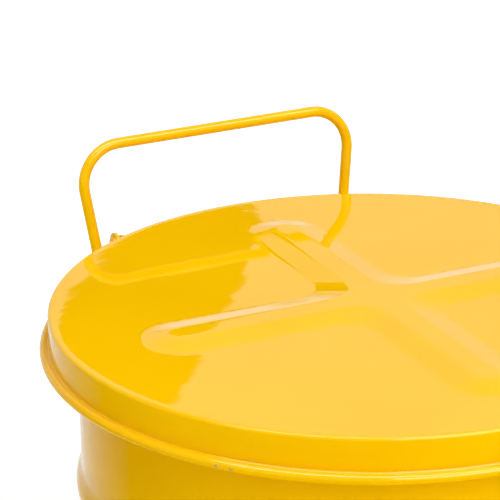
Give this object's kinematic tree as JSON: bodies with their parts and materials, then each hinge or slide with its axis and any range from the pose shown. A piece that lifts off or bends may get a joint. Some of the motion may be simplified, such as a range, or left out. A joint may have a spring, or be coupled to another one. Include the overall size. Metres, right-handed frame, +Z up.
{
  "type": "self-closing safety disposal can",
  "caption": "Round sheet-steel waste can with a hinged, cross-stamped lid that a foot pedal, lever and lift rod raise, and a fixed wire carrying handle behind the lid.",
  "frame": {"origin": "on the floor, on the axis of the can", "axes": "+Z up along the can's axis and longest extent, +Y to the hinge and handle at the back, -Y to the pedal at the front, +X to the right seen from the front"},
  "size_m": [0.354, 0.4254, 0.5068],
  "materials": {
    "yellow_enamel": "gloss",
    "zinc_plate": "satin",
    "black_enamel": "satin"
  },
  "bodies": {
    "can": {"can_body": "yellow_enamel", "bottom_pan": "yellow_enamel", "base_ring": "yellow_enamel", "rear_bracket": "yellow_enamel", "carry_handle": "yellow_enamel", "hinge_pin": "yellow_enamel", "hinge_pin_nut": "yellow_enamel", "hinge_washers": "yellow_enamel", "rod_guide": "yellow_enamel", "fulcrum_bracket": "yellow_enamel", "fulcrum_pin": "zinc_plate", "fulcrum_clip": "zinc_plate"},
    "lid": {"lid_shell": "yellow_enamel", "lid_hinge_plate": "yellow_enamel", "lift_lug": "yellow_enamel"},
    "rod": {"lift_rod": "zinc_plate", "rod_top_nut": "zinc_plate", "rod_collars": "zinc_plate"},
    "pedal": {"pedal_lever": "zinc_plate", "lever_tube": "zinc_plate", "pedal_plate": "black_enamel", "pedal_rivets": "zinc_plate"}
  },
  "joints": [
    {"name": "lid_hinge", "type": "hinge", "parent": "can", "child": "lid", "pos_m": [0, 0.185, 0.443], "axis": [-1, 0, 0], "range_deg": [0, 60]},
    {"name": "rod_pivot", "type": "hinge", "parent": "lid", "child": "rod", "pos_m": [-0.009, 0.16855, 0.4335], "axis": [1, 0, 0], "range_deg": [0, 60.5]},
    {"name": "pedal_pivot", "type": "hinge", "parent": "can", "child": "pedal", "pos_m": [0, 0.01055, 0.01243], "axis": [1, 0, 0], "range_deg": [0, 7]}
  ],
  "couplings": [
    {"joint": "rod_pivot", "follows": "lid_hinge", "ratio": 1},
    {"joint": "pedal_pivot", "follows": "lid_hinge", "ratio": 0.11511}
  ]
}
